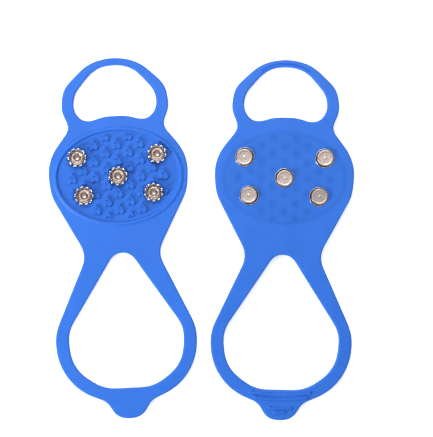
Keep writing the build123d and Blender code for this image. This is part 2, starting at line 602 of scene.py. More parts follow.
@dataclass
class Bench:
    """Adds nodes to one shader tree and links them."""

    tree: bpy.types.NodeTree

    def add(self, kind: str, settings: dict, sockets: dict, output: Union[int, str] = 0) -> Wire:
        """Adds one node.

        Args:
            kind: the node's type.
            settings: its properties, which are set first; a ramp's stops are under "stops".
            sockets: a value or a wire for each input, by name or number.
            output: the output that is wanted, by name or number.

        Returns:
            The wanted output. A closing node has none, and its wire leads nowhere.
        """
        node = self.tree.nodes.new(kind)
        for name, value in settings.items():
            if name == "stops":
                self.set_stops(node.color_ramp, value)
            else:
                setattr(node, name, value)
        for name, value in sockets.items():
            if isinstance(value, Wire):
                self.tree.links.new(value.socket, node.inputs[name])
            else:
                node.inputs[name].default_value = value
        return Wire(self, node.outputs[output] if len(node.outputs) else None)

    @staticmethod
    def set_stops(ramp: bpy.types.ColorRamp, stops: Spots) -> None:
        """Gives a ramp its grey stops.

        Args:
            ramp: the ramp of a node.
            stops: (place, brightness) of each stop.
        """
        while len(ramp.elements) < len(stops):
            # A new stop's place doesn't matter, because every stop is moved below
            ramp.elements.new(0.5)
        for element, (place, grey) in zip(ramp.elements, stops):
            element.position = place
            element.color = (grey, grey, grey, 1.0)

    def mixed(self, share: Value, first: Value, second: Value) -> Wire:
        """One colour that turns into another.

        Args:
            share: how much of the second colour there is, from 0 to 1.
            first: a colour, or a wire that carries one.
            second: the same, for the other colour.

        Returns:
            The mixed colour.
        """
        ends = [end if isinstance(end, Wire) else (*end, 1.0) for end in (first, second)]
        sockets = {MIX_SHARE: share, MIX_FIRST: ends[0], MIX_SECOND: ends[1]}
        return self.add("ShaderNodeMix", {"data_type": "RGBA"}, sockets, MIX_RESULT)

    def place(self) -> Wire:
        """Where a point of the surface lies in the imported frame, in metres."""
        return self.add("ShaderNodeTexCoord", {}, {}, "Object")

    def mark(self) -> Wire:
        """The mark that a mesh carries at each of its points."""
        return self.add("ShaderNodeAttribute", {"attribute_name": MARK}, {}, "Fac")

    def noise(self, pattern: Pattern) -> Wire:
        """A noise fixed to the surface.

        Args:
            pattern: what it is like.

        Returns:
            The noise, from 0 to 1.
        """
        spread = self.add("ShaderNodeMapping", {}, {"Vector": self.place(), "Scale": pattern.density})
        sockets = {"Vector": spread, "Scale": 1 / (pattern.size * METRES), "Detail": pattern.detail}
        return self.add("ShaderNodeTexNoise", {}, sockets)

    def ramp(self, wire: Wire, stops: Spots) -> Wire:
        """A value passed through grey stops."""
        return self.add("ShaderNodeValToRGB", {"stops": stops}, {"Fac": wire})

    def bump(self, height: Wire, depth: float, strength: float, base: Union[Wire, None] = None) -> Wire:
        """A surface direction that follows small heights.

        Args:
            height: the heights, from 0 to 1.
            depth: what a height of 1 stands for, in millimetres.
            strength: how fully it shows.
            base: the direction that it starts from, if not the mesh's own.

        Returns:
            The new direction.
        """
        sockets = {"Height": height, "Distance": depth * METRES, "Strength": strength}
        if base is not None:
            sockets["Normal"] = base
        return self.add("ShaderNodeBump", {}, sockets)


def new_material(name: str) -> tuple[bpy.types.Material, Bench]:
    """An empty node material.

    Args:
        name: the material's name.

    Returns:
        The material and the bench that adds its nodes.
    """
    material = bpy.data.materials.new(name)
    material.use_nodes = True
    material.node_tree.nodes.clear()
    return material, Bench(material.node_tree)


def set_surface(bench: Bench, sockets: dict) -> None:
    """Adds the surface shader with these sockets and joins it to the output."""
    shader = bench.add("ShaderNodeBsdfPrincipled", {}, sockets)
    bench.add("ShaderNodeOutputMaterial", {}, {"Surface": shader})


@dataclass(frozen=True)
class SiliconeFinish:
    """Satin moulded silicone, slightly see-through, with a fine mould grain.

    It darkens towards the deep colour by deep_share everywhere; by its see-through share where the
    tread's far side shows and where painted shade darkens the recessed field and rings each crown;
    and a little with the flow and the grain. Lengths are in millimetres.
    """

    colour: Colour = (0.032, 0.174, 0.715)
    deep_colour: Colour = (0.010, 0.105, 0.480)
    deep_share: float = 0.12
    see_through: float = 0.55
    flow: Pattern = Pattern(14.0, 2.0)
    flow_share: float = 0.5
    grain: Pattern = Pattern(0.22, 3.0)
    grain_share: float = 0.10
    roughness: float = 0.54
    smudges: Pattern = Pattern(3.5, 4.0)
    smudge_roughness: float = 0.16
    grain_roughness: float = 0.10
    waves: Pattern = Pattern(5.0, 1.0)
    wave_depth: float = 0.05
    wave_strength: float = 0.5
    grain_depth: float = 0.012
    grain_strength: float = 0.6
    refraction: float = 1.41
    shine: float = 0.36
    scatter: float = 0.25
    scatter_colour: Colour = (0.25, 0.55, 1.0)
    scatter_depth: float = 1.6

    def material(self) -> bpy.types.Material:
        """The material of every moulding.

        Returns:
            The finished material.
        """
        material, bench = new_material("blue_silicone")
        flow = bench.noise(self.flow) - 0.5
        grain = bench.noise(self.grain)
        smudges = bench.noise(self.smudges) - 0.5
        # The mark carries see-through darkening and painted shade in the field and round the crowns
        shown_and_shade = bench.mark() * self.see_through
        share = shown_and_shade + flow * self.flow_share + (grain - 0.5) * self.grain_share + self.deep_share
        roughness = self.roughness + smudges * self.smudge_roughness + (grain - 0.5) * self.grain_roughness
        soft_waves = bench.bump(bench.noise(self.waves), self.wave_depth, self.wave_strength)
        set_surface(
            bench,
            {
                "Base Color": bench.mixed(share.limited(), self.colour, self.deep_colour),
                "Roughness": roughness,
                "Normal": bench.bump(grain, self.grain_depth, self.grain_strength, soft_waves),
                "IOR": self.refraction,
                "Specular IOR Level": self.shine,
                "Subsurface Weight": self.scatter,
                "Subsurface Radius": self.scatter_colour,
                "Subsurface Scale": self.scatter_depth * METRES,
            },
        )
        return material


@dataclass(frozen=True)
class SteelFinish:
    """Nickel-plated stamped steel: tumbled, with fine scratches and a mottled grain.

    Its marked colour is painted light at the points that the mesh marks: a painted glint on the
    crowns' tooth tips, and painted shade down the rivets' head sides and inside the washers' lips.
    """

    name: str
    colour: Colour
    roughness: float
    mottle: float
    scratch: float
    # Painted shade: the dark colour of rivet head sides and washer recesses; crowns use a near-white
    # painted glint
    marked_colour: Colour = (0.10, 0.085, 0.085)
    mottling: Pattern = Pattern(0.9, 4.0)
    grain: Pattern = Pattern(0.16, 2.0)
    scratches: Pattern = Pattern(1.6, 3.0, (0.35, 6.0, 1.0))
    scratch_stops: Spots = ((0.46, 0.0), (0.5, 1.0), (0.54, 0.0))
    dull_share: float = 0.6
    patch_contrast: float = 3.0
    patch_level: float = 0.4
    patch_roughness: float = 0.35
    scratch_roughness: float = 0.08
    mottle_height: float = 0.7
    grain_height: float = 0.3
    relief_depth: float = 0.03
    relief_strength: float = 0.1
    mottle_strength: float = 0.55

    def material(self) -> bpy.types.Material:
        """The material of one kind of steel piece.

        Returns:
            The finished material.
        """
        material, bench = new_material(self.name)
        mottle = bench.noise(self.mottling)
        scratches = bench.ramp(bench.noise(self.scratches), self.scratch_stops)
        dull = tuple(part * self.dull_share for part in self.colour)
        patches = ((mottle - 0.5) * (self.patch_contrast * self.mottle) + self.patch_level).limited()
        plated = bench.mixed(patches, self.colour, dull)
        uneven = (mottle - 0.5) * self.patch_roughness * self.mottle
        roughness = self.roughness + uneven + scratches * self.scratch_roughness
        heights = mottle * self.mottle_height + bench.noise(self.grain) * self.grain_height
        heights = heights - scratches * self.scratch
        strength = self.mottle_strength * self.mottle + self.relief_strength
        set_surface(
            bench,
            {
                # Marked points are painted light: near-white glints on crown tips, dark shade on rivets
                # and washers
                "Base Color": bench.mixed(bench.mark(), plated, self.marked_colour),
                "Metallic": 1.0,
                "Roughness": roughness.limited(),
                "Normal": bench.bump(heights, self.relief_depth, strength),
            },
        )
        return material


# The crowns' marks are tooth tips painted near white as glints, and the others' marks are recesses painted
# dark as shade
STEEL = {
    Metal.CROWN: SteelFinish(
        "crown_steel", (0.69, 0.60, 0.56), roughness=0.15, mottle=0.35, scratch=0.15,
        marked_colour=(0.96, 0.94, 0.93),
    ),
    Metal.RIVET: SteelFinish(
        "rivet_steel", (0.66, 0.55, 0.505), roughness=0.36, mottle=1.0, scratch=0.25
    ),
    Metal.WASHER: SteelFinish(
        "washer_steel", (0.70, 0.68, 0.70), roughness=0.24, mottle=0.40, scratch=0.20
    ),
}


# --- The moulding ---


@dataclass(frozen=True)
class Lug:
    """One raised arrow of the tread: a point, wide shoulders, a cross groove and a notched end.

    Its plan is about the tip of its point. Its rings are (share of the outline, height over the
    field) from its foot to its top, and the groove and the notch set in from the height shaped_from.
    Its middle stays a margin inside the field, and loose points keep a clearance from its middle.
    """

    outline: Outline = Outline(
        ((0.0, -4.95, 0.3), (1.45, -5.5, 0.5), (2.7, -4.3, 0.6), (0.0, 0.2, 0.25))
    )
    outline_step: float = 0.35
    middle_y: float = -3.2
    margin: float = 0.7
    clearance: float = 3.6
    rings: Spots = ((1.07, 0.0), (1.01, 0.25), (0.95, 0.85), (0.88, 1.08), (0.76, 1.2))
    ring_gap: float = 0.13
    shaped_from: float = 0.6
    top_share: float = 0.9
    top_box: tuple[Spot, Spot] = ((-2.3, -5.6), (2.3, 0.0))
    top_step: float = 0.38
    groove_y: float = -2.35
    groove_half_width: float = 0.36
    groove_half_length: float = 1.0
    groove_depth: float = 0.7
    notch_y: float = -4.5
    notch_radius: float = 0.5
    notch_depth: float = 0.3

    def sunk(self, plan: np.ndarray) -> np.ndarray:
        """How far the groove and the notch sink the top.

        Args:
            plan: rows of x, y about the lug's tip.

        Returns:
            The depth at each point.
        """
        groove = np.exp(-(((plan[:, 1] - self.groove_y) / self.groove_half_width) ** 2))
        groove = groove * np.exp(-((plan[:, 0] / self.groove_half_length) ** 4))
        across, along = plan[:, 0] / self.notch_radius, (plan[:, 1] - self.notch_y) / self.notch_radius
        return groove * self.groove_depth + np.exp(-(across**2) - along**2) * self.notch_depth


@dataclass(frozen=True)
class ShowThroughAndShade:
    """How the tread darkens the smooth face of the silicone that it shows through, and where shade is
    painted: the recessed field is painted darker, and a painted shade ring surrounds each crown.

    Strengths and shades are darknesses, from 0 to 1, and lengths are in millimetres.
    """

    lug_half_width: float = 1.9
    lug_half_length: float = 2.3
    lug_middle: float = 3.1
    lug_strength: float = 0.72
    rim_inset: float = 2.6
    rim_radius: float = 27.0
    rim_width: float = 1.1
    rim_strength: float = 0.45
    # Painted shade in the recessed field, stronger on the tread face
    field_edge: float = 1.05
    field_fade: float = 0.1
    field_shade: float = 0.25
    tread_contrast: float = 2.2
    # A painted shade ring round each crown on the tread face
    seat_radius: float = 4.6
    seat_width: float = 0.9


@dataclass
class Moulding:
    """The silicone body of one cleat: tread pad, toe loop, heel loop and pull tab in one.

    Heights are from the shoe face towards the ground. The rim's section is (inset from its outer
    oval, height), those of the ribs and the groove are (half width, height), a seat is (radius,
    height), and a tab rib is (y at its middle, y at its ends, half its length). Steps are distances
    between points of the mesh, and gaps keep the loose ones off the rings.
    """

    outline: Outline = Outline(
        (
            (6.3, -120.7, 8.0),
            (10.9, -112.2, 6.0),
            (34.2, -102.7, 29.0),
            (35.4, -77.2, 22.8),
            (17.8, -38.8, 11.0),
            (33.8, -8.5, 18.0),
            (35.4, 8.5, 22.8),
            (23.1, 24.8, 4.1),
            (26.9, 33.4, 10.6),
            (25.7, 44.4, 12.6),
            (12.6, 57.0, 21.6),
            (0.0, 59.5, 25.0),
        )
    )
    heel_opening: Outline = Outline(
        ((12.5, -105.6, 18.7), (27.3, -94.9, 18.8), (29.1, -76.9, 16.3), (4.0, -38.3, 6.0))
    )
    toe_opening: Outline = Outline(
        (
            (5.9, 30.0, 18.0),
            (12.5, 27.9, 5.0),
            (17.3, 28.3, 6.2),
            (20.9, 34.4, 6.7),
            (19.9, 42.0, 8.7),
            (8.6, 55.4, 16.0),
        )
    )
    thickness: float = 3.0
    edge_radius: float = 0.8
    edge_steps: int = 6
    edge_blur: float = 2.6
    edge_gap: float = 0.45
    step: float = 0.7
    ground_step: float = 1.1
    shoe_step: float = 0.85
    seat_step: float = 0.6
    hole_step: float = 0.5
    face_box: tuple[Spot, Spot] = ((-35.0, -120.5), (35.0, 59.5))
    rim_outer: Spot = (32.9, 25.2)
    rim_gap: float = 0.5
    rim_section: Spots = (
        (0.0, 3.0), (0.25, 3.06), (0.55, 3.24), (0.85, 3.44), (1.2, 3.6), (1.6, 3.66),
        (1.95, 3.6), (2.2, 3.4), (2.42, 3.06), (2.65, 2.76), (2.95, 2.6),
    )
    field_floor: float = 2.6
    lug: Lug = Lug()
    lug_columns: int = 4
    lug_column: float = 5.7
    lug_rows: int = 6
    lug_pitch: float = 8.1
    lug_first_point: float = 18.9
    lug_middle: float = 2.7
    lug_field: Spot = (27.5, 21.0)
    lug_spike_gap: float = 4.4
    lug_seat_radius: float = 5.1
    show_through: ShowThroughAndShade = ShowThroughAndShade()
    spike_places: Spots = (
        (-19.9, 10.1), (19.9, 10.1), (0.0, 0.0), (-17.3, -9.0), (17.3, -9.0),
    )
    hole_radius: float = 2.25
    crown_seat: Spots = ((4.95, 2.6), (4.8, 2.5), (4.1, 2.5))
    washer_seat: Spots = ((4.88, 0.0), (4.8, 0.08), (4.78, 0.3))
    seat_gap: float = 0.4
    tab_ribs: tuple[Corner, ...] = (
        (-107.8, -106.8, 14.8), (-110.3, -109.1, 13.2), (-114.6, -114.4, 5.7), (-116.8, -116.7, 2.4),
    )
    rib_section: Spots = ((0.85, 0.0), (0.72, -0.1), (0.6, -0.42), (0.42, -0.7), (0.15, -0.8))
    rib_gap: float = 0.35
    toe_groove_reach: Spot = (12.0, 52.0)
    toe_groove_gap: float = 1.42
    groove_section: Spots = ((0.56, 0.0), (0.46, 0.06), (0.36, 0.25), (0.12, 0.5))
    toe_hinge: float = 32.0
    heel_hinge: float = -45.0
    toe_bend: Spot = (28.6, 35.4)
    heel_bend: Spot = (-40.0, -50.0)
    toe_seam: float = 27.0
    heel_seam: float = -37.0

    def edge(self, outline: Outline) -> np.ndarray:
        """The points of one outline of the moulding, as it is moulded."""
        return softened(outline.points(self.step), self.step, self.edge_blur)

    def lug_tips(self) -> list[Spot]:
        """The tips of the lugs whose middle is inside the field and clear of the spikes.

        Returns:
            Each tip's x and y, column by column.
        """
        tips = []
        for column in range(-self.lug_columns, self.lug_columns + 1):
            first = self.lug_first_point + (self.lug_pitch / 2 if column % 2 else 0)
            for row in range(self.lug_rows):
                x, y = column * self.lug_column, first - row * self.lug_pitch
                middle = y - self.lug_middle
                in_field = (x / self.lug_field[0]) ** 2 + (middle / self.lug_field[1]) ** 2 < 1
                gaps = [math.hypot(x - px, middle - py) for px, py in self.spike_places]
                if in_field and min(gaps) > self.lug_spike_gap:
                    tips.append((x, y))
        return tips

    def moved_clear(self, point: np.ndarray, margin: float) -> np.ndarray:
        """A point moved, if it must be, inside the lugs' field and away from every spike's seat.

        Args:
            point: its x and y.
            margin: how far it has to stay from the field's edge and the seats.

        Returns:
            Its new x and y.
        """
        share = float(oval_share(point[None], self.lug_field[0] - margin, self.lug_field[1] - margin)[0])
        moved = point / max(share, 1.0)
        for place in self.spike_places:
            away = moved - np.array(place)
            distance = float(np.linalg.norm(away))
            if distance < self.lug_seat_radius + margin:
                moved = np.array(place) + away / distance * (self.lug_seat_radius + margin)
        return moved

    def free_reach(self, centre: np.ndarray, rays: np.ndarray) -> np.ndarray:
        """How far a lug may reach from its centre before it meets the field's edge or a seat.

        Args:
            centre: the lug's centre.
            rays: directions of length one, as rows of x, y.

        Returns:
            The distance along each ray.
        """
        semi = np.array(self.lug_field)
        a = ((rays / semi) ** 2).sum(axis=1)
        b = (rays * centre / semi**2).sum(axis=1)
        c = float(((centre / semi) ** 2).sum()) - 1
        reach = (-b + np.sqrt(b * b - a * c)) / a
        for place in self.spike_places:
            away = centre - np.array(place)
            b = rays @ away
            under = b * b - float(away @ away) + self.lug_seat_radius**2
            hit = (under > 0) & (b < 0)
            distance = -b - np.sqrt(np.maximum(under, 0.0))
            reach = np.where(hit, np.minimum(reach, distance), reach)
        return reach

    def add_boundary(self, skin: Skin, plan: np.ndarray, hole: bool) -> tuple[np.ndarray, np.ndarray]:
        """Adds the rounded wall along one outline.

        Args:
            skin: the surface to add to.
            plan: the outline's points.
            hole: whether the material is outside the outline.

        Returns:
            The rings where the wall meets the shoe face and the ground face.
        """
        inward = outward(plan) * (1 if hole else -1)
        angles = np.linspace(0, math.pi / 2, self.edge_steps + 1)
        insets = self.edge_radius * (1 - np.cos(angles))
        rises = self.edge_radius * (1 - np.sin(angles))
        rings = [skin.ring(plan + inward * a, z) for a, z in zip(insets[::-1], rises[::-1])]
        rings += [skin.ring(plan + inward * a, self.thickness - z) for a, z in zip(insets, rises)]
        for lower, upper in zip(rings, rings[1:]):
            skin.wall(lower, upper, hole)
        return rings[0], rings[-1]

    def add_lug(self, skin: Skin, tip: Spot) -> tuple[list[np.ndarray], np.ndarray]:
        """Adds the rings and the top points of one lug.

        Args:
            skin: the surface to add to.
            tip: where the lug's point stands.

        Returns:
            Its rings, and the numbers of the points inside them.
        """
        lug = self.lug
        outline = lug.outline.points(lug.outline_step) + tip
        centre = self.moved_clear(np.array([tip[0], tip[1] + lug.middle_y]), lug.margin)
        spokes = outline - centre
        lengths = np.linalg.norm(spokes, axis=1)
        free = self.free_reach(centre, spokes / lengths[:, None]) / lengths
        rings = []
        for number, (scale, height) in enumerate(lug.rings):
            share = np.minimum(scale, free - lug.ring_gap * number / lengths)
            plan = centre + spokes * share[:, None]
            drop = lug.sunk(plan - tip) * smoothstep((height - lug.shaped_from) / lug.shaped_from)
            rings.append(skin.ring(plan, self.field_floor + height - drop))
        inner = centre + (plan - centre) * lug.top_share
        spots = grid(*lug.top_box, lug.top_step) + tip
        spots = spots[inside(spots, inner)]
        return rings, skin.ring(spots, self.field_floor + lug.rings[-1][1] - lug.sunk(spots - tip))

    def add_seats(self, skin: Skin, seat: Spots) -> list[np.ndarray]:
        """Adds the rings of one kind of seat round every spike.

        Args:
            skin: the surface to add to.
            seat: the seat's rings.

        Returns:
            The added rings.
        """
        return [
            skin.ring(oval(radius, radius, self.seat_step) + place, height)
            for place in self.spike_places
            for radius, height in seat
        ]

    def ground_grid(self) -> np.ndarray:
        """Loose points of the ground face, clear of the rim, the lugs and the seats.

        Returns:
            Rows of x, y.
        """
        spots = grid(*self.face_box, self.ground_step)
        outer = oval_share(spots, self.rim_outer[0] + self.rim_gap, self.rim_outer[1] + self.rim_gap) > 1
        width = self.rim_section[-1][0] + self.rim_gap
        inner = oval_share(spots, self.rim_outer[0] - width, self.rim_outer[1] - width) < 1
        lugs = [(x, y + self.lug.middle_y) for x, y in self.lug_tips()]
        clear = clear_of(spots, lugs, self.lug.clearance)
        clear &= clear_of(spots, self.spike_places, self.crown_seat[0][0] + self.seat_gap)
        return spots[outer | (inner & clear)]

    @staticmethod
    def covers(outer: np.ndarray, holes: list[np.ndarray]) -> Test:
        """A test of which points of the plan the silicone covers.

        Args:
            outer: the outer outline's points.
            holes: the points of every opening and hole.

        Returns:
            The test, which takes rows of x, y and gives a truth value for each.
        """

        def test(points: np.ndarray) -> np.ndarray:
            """Tells which points are inside the outer outline and in none of the holes.

            Args:
                points: rows of x, y.

            Returns:
                One truth value for each point.
            """
            kept = inside(points, outer)
            for hole in holes:
                kept &= ~inside(points, hole)
            return kept

        return test

    def build(self) -> Skin:
        """The whole surface, lying flat.

        Returns:
            The skin in the cleat's own frame, in millimetres.
        """
        skin = Skin()
        outlines = [self.edge(part) for part in (self.outline, self.heel_opening, self.toe_opening)]
        shoe_rings, ground_rings = [], []
        for number, plan in enumerate(outlines):
            low, high = self.add_boundary(skin, plan, hole=number > 0)
            shoe_rings.append(low)
            ground_rings.append(high)
        circles = []
        for place in self.spike_places:
            circle = oval(self.hole_radius, self.hole_radius, self.hole_step) + place
            low = skin.ring(circle, self.washer_seat[-1][1])
            high = skin.ring(circle, self.crown_seat[-1][1])
            skin.wall(low, high, hole=True)
            shoe_rings.append(low)
            ground_rings.append(high)
            circles.append(circle)
        margins = [np.vstack(skin.points)[ring][:, :2] for ring in ground_rings[: len(outlines)]]
        covers = self.covers(margins[0], margins[1:] + circles)
        self.fill_ground(skin, ground_rings, covers, margins)
        self.fill_shoe(skin, shoe_rings, covers, margins)
        return skin

    def off_margins(self, spots: np.ndarray, covers: Test, margins: list[np.ndarray]) -> np.ndarray:
        """The covered points that are not too close to an edge.

        Args:
            spots: rows of x, y.
            covers: tells which points the silicone covers.
            margins: the points of each edge.

        Returns:
            The rows that may stay.
        """
        spots = spots[covers(spots)]
        keep = np.ones(len(spots), bool)
        for margin in margins:
            for start in range(0, len(spots), BLOCK):
                block = spots[start : start + BLOCK]
                gaps = np.linalg.norm(block[:, None] - margin[None], axis=2).min(axis=1)
                keep[start : start + BLOCK] &= gaps > self.edge_gap
        return spots[keep]

    def fill_ground(
        self, skin: Skin, rings: list[np.ndarray], covers: Test, margins: list[np.ndarray]
    ) -> None:
        """Covers the face that treads on the ground: rim, field, lugs and crown seats.

        Args:
            skin: the surface to add to.
            rings: the rings where the walls meet this face.
            covers: tells which points the silicone covers.
            margins: the points of each edge.
        """
        rings = list(rings)
        for inset, height in self.rim_section:
            plan = oval(self.rim_outer[0] - inset, self.rim_outer[1] - inset, self.step)
            rings.append(skin.ring(plan, height))
        rings += self.add_seats(skin, self.crown_seat)
        loose = []
        for tip in self.lug_tips():
            lug_rings, lug_points = self.add_lug(skin, tip)
            rings += lug_rings
            loose.append(lug_points)
        spots = self.off_margins(self.ground_grid(), covers, margins)
        in_field = oval_share(spots, *self.rim_outer) < 1
        loose.append(skin.ring(spots, np.where(in_field, self.field_floor, self.thickness)))
        skin.fill(rings, np.concatenate(loose), covers, ground=True)

    def groove_line(self) -> np.ndarray:
        """The centre line of the groove that follows the front of the toe opening.

        Returns:
            Rows of x, y from left to right.
        """
        edge = self.edge(self.toe_opening)
        line = edge + outward(edge) * self.toe_groove_gap
        half_length, lowest = self.toe_groove_reach
        line = line[(np.abs(line[:, 0]) < half_length) & (line[:, 1] > lowest)]
        return line[np.argsort(line[:, 0])]

    def fill_shoe(
        self, skin: Skin, rings: list[np.ndarray], covers: Test, margins: list[np.ndarray]
    ) -> None:
        """Covers the face that lies against the shoe: washer seats, tab ribs and toe groove.

        Args:
            skin: the surface to add to.
            rings: the rings where the walls meet this face.
            covers: tells which points the silicone covers.
            margins: the points of each edge.
        """
        rings = list(rings)
        bars = [(bowed_line(*rib, self.step), self.rib_section) for rib in self.tab_ribs]
        bars.append((self.groove_line(), self.groove_section))
        spots = self.off_margins(grid(*self.face_box, self.shoe_step), covers, margins)
        for line, section in bars:
            for half_width, height in section:
                rings.append(skin.ring(bar(line, half_width), height))
            spots = spots[~inside(spots, bar(line, section[0][0] + self.rib_gap))]
        rings += self.add_seats(skin, self.washer_seat)
        spots = spots[clear_of(spots, self.spike_places, self.washer_seat[0][0] + self.seat_gap)]
        skin.fill(rings, skin.ring(spots, 0.0), covers, ground=False)

    def darkness(self, points: np.ndarray) -> np.ndarray:
        """How dark the silicone is: where the tread shows through, and painted shade in the recessed
        field and round each crown.

        Args:
            points: rows of x, y, z.

        Returns:
            The mark of each point, 0 where the colour is plain.
        """
        show = self.show_through
        x, y, z = points.T
        lugs = np.zeros(len(points))
        for tip_x, tip_y in self.lug_tips():
            across = (x - tip_x) / show.lug_half_width
            along = (y - tip_y + show.lug_middle) / show.lug_half_length
            lugs = np.maximum(lugs, np.exp(-(across**2 + along**2)))
        share = oval_share(points, self.rim_outer[0] - show.rim_inset, self.rim_outer[1] - show.rim_inset)
        rim = np.exp(-(((share - 1) * show.rim_radius / show.rim_width) ** 2)) * show.rim_strength
        # Painted shade: the recessed field is darker, and more strongly so on the tread face
        field_shade = show.field_shade * smoothstep((show.field_edge - share) / show.field_fade)
        # Painted shade: a dark ring round the seat of each crown on the tread face
        crown_shade = np.zeros(len(points))
        for place in self.spike_places:
            gaps = np.hypot(x - place[0], y - place[1])
            crown_shade = np.maximum(crown_shade, np.exp(-(((gaps - show.seat_radius) / show.seat_width) ** 2)))
        # The shoe face shows the tread through it, plus the painted field shade
        shoe_side = np.maximum(lugs * show.lug_strength, rim) + field_shade
        # The tread face's darkness is all painted shade: the field and the rings round the crowns
        tread_side_shade = field_shade * show.tread_contrast + crown_shade
        return np.where(z < self.thickness / 2, shoe_side, tread_side_shade)

    def drooped(self, points: np.ndarray, toe_angle: float, heel_angle: float) -> np.ndarray:
        """The points with both loops bent down on their necks.

        Args:
            points: rows of x, y, z.
            toe_angle: how far the toe loop turns about +X, in radians.
            heel_angle: how far the heel loop turns about +X, in radians.

        Returns:
            The bent points.
        """
        bent = points.copy()
        for hinge, (start, end), angle in (
            (self.toe_hinge, self.toe_bend, toe_angle),
            (self.heel_hinge, self.heel_bend, heel_angle),
        ):
            turn = smoothstep((points[:, 1] - start) / (end - start)) * angle
            y, z = bent[:, 1] - hinge, bent[:, 2] - self.thickness / 2
            bent[:, 1] = hinge + y * np.cos(turn) - z * np.sin(turn)
            bent[:, 2] = self.thickness / 2 + y * np.sin(turn) + z * np.cos(turn)
        return bent


# --- A spike ---


@dataclass
class Spike:
    """A toothed crown, the rivet that holds it and the washer under the rivet's head.

    Heights are from the shoe face towards the ground. A tooth column is (degrees from the tooth's
    middle, share of the tooth's height), and the lean and the wear of a tooth lie between a least
    and a most. The painted shade down a head's side and inside a washer's lip fades over shade_width.
    """

    place: Spot
    turn: float
    head_shift: Spot
    head_lean: Spot
    seed: int
    hole_radius: float = 2.25
    crown_base: float = 2.5
    crown_floor: float = 3.2
    crown_tip: float = 5.9
    crown_base_radius: float = 3.9
    crown_tip_radius: float = 4.75
    crown_sheet: float = 0.7
    crown_foot_rounding: float = 0.6
    crown_cup_radius: float = 3.35
    crown_cup_rounding: float = 0.22
    notch_floor: float = 3.7
    worn_from: float = 4.9
    teeth: int = 10
    tooth_lean: Spot = (-0.12, 0.04)
    tooth_wear: Spot = (-0.12, 0.0)
    tooth_thinning: float = 0.25
    tooth_rounding: float = 0.17
    tooth_columns: Spots = (
        (-18.0, 0.0), (-16.2, 0.0), (-15.0, 0.04), (-14.0, 0.15), (-12.0, 0.5), (-10.0, 0.86),
        (-9.0, 0.96), (-7.5, 1.0), (-2.5, 1.0), (2.5, 1.0), (7.5, 1.0), (9.0, 0.96),
        (10.0, 0.86), (12.0, 0.5), (14.0, 0.15), (15.0, 0.04), (16.2, 0.0),
    )
    head_radius: float = 4.08
    head_top: float = -1.3
    head_dish: float = 0.1
    head_mark_rise: float = 0.06
    head_side: float = 0.12
    head_underside: float = -0.3
    shank_radius: float = 2.2
    rim_radius: float = 2.9
    rim_height: float = 3.92
    rim_rounding: float = 0.32
    washer_radius: float = 4.78
    washer_half: float = 0.3
    washer_groove: Spot = (3.85, 4.3)
    washer_lip: float = 0.04
    washer_rounding: float = 0.08
    lip_radius: float = 4.46
    shade_width: float = 0.1
    around: int = 96

    def crown(self) -> Shape:
        """The crown: a stamped cup whose flared wall is cut into teeth.

        Returns:
            Its shape about the spike's axis, marked at the tooth tips for a painted glint.
        """
        rng = np.random.default_rng(self.seed)
        wall_slope = (self.crown_tip_radius - self.crown_base_radius) / (self.crown_tip - self.crown_base)
        rows, angles = [], []
        for tooth in range(self.teeth):
            lean = float(rng.uniform(*self.tooth_lean))
            wear = float(rng.uniform(*self.tooth_wear))
            for degrees, share in self.tooth_columns:
                top = self.notch_floor + (self.crown_tip + wear - self.notch_floor) * share
                outer = self.crown_base_radius + wall_slope * (top - self.crown_base) + lean * share
                thin = self.crown_sheet * (1 - self.tooth_thinning * share)
                corners = (
                    (self.hole_radius, self.crown_base, 0.0),
                    (self.crown_base_radius, self.crown_base, self.crown_foot_rounding),
                    (outer, top, self.tooth_rounding),
                    (outer - thin, top, self.tooth_rounding),
                    (self.crown_cup_radius, self.crown_floor, self.crown_cup_rounding),
                    (self.hole_radius, self.crown_floor, 0.0),
                )
                rows.append(np.vstack([profile(corners), corners[0][:2]]))
                angles.append(math.radians(tooth * 360 / self.teeth + degrees))
        rows = np.array(rows)
        shape = lathe(rows[:, :, 0], rows[:, :, 1], np.array(angles) + self.turn)
        # Painted glints: the tooth tips are marked for the crown's near-white colour
        shape.marks = smoothstep((shape.points[:, 2] - self.worn_from) / (self.crown_tip - self.worn_from))
        return shape

    def turned(self, corners: Corners) -> Shape:
        """A round piece from its profile.

        Args:
            corners: (radius, height, corner radius) along the profile.

        Returns:
            Its shape about the spike's axis.
        """
        path = profile(corners)
        angles = np.arange(self.around) / self.around * 2 * math.pi
        ones = np.ones((self.around, 1))
        return lathe(ones * path[:, 0], ones * path[:, 1], angles)

    def rivet(self) -> Shape:
        """The rivet: a dished head with a centre mark, the shank, the rolled rim and its cup.

        Returns:
            Its shape about the spike's axis, marked with painted shade down the side of the head.
        """
        dish = self.head_top + self.head_dish
        mark = dish - self.head_mark_rise
        shape = self.turned(
            (
                (0.0, mark, 0.0),
                (0.45, mark, 0.12),
                (0.75, dish, 0.12),
                (2.9, dish - 0.02, 0.4),
                (3.4, self.head_top, 0.4),
                (self.head_radius, self.head_top, 0.28),
                (self.head_radius - 0.1, self.head_underside, 0.3),
                (self.shank_radius, self.head_underside, 0.02),
                (self.shank_radius, self.crown_floor, 0.05),
                (self.rim_radius, self.crown_floor, 0.25),
                (self.rim_radius - 0.05, self.rim_height, self.rim_rounding),
                (1.95, self.rim_height, self.rim_rounding),
                (1.6, 3.1, 0.35),
                (1.45, 1.75, 0.95),
                (0.0, 1.5, 0.0),
            )
        )
        head = shape.points[:, 2] < self.head_underside + HEIGHT_MARGIN
        out = np.hypot(shape.points[:, 0], shape.points[:, 1])
        # Painted shade down the side of the head, where it meets the washer
        shape.marks = smoothstep((out - self.head_radius + self.head_side) / self.shade_width)
        shape.points[head, 2] += shape.points[head, :2] @ np.tan(np.radians(self.head_lean))
        shape.points[head, :2] += np.array(self.head_shift)
        return shape

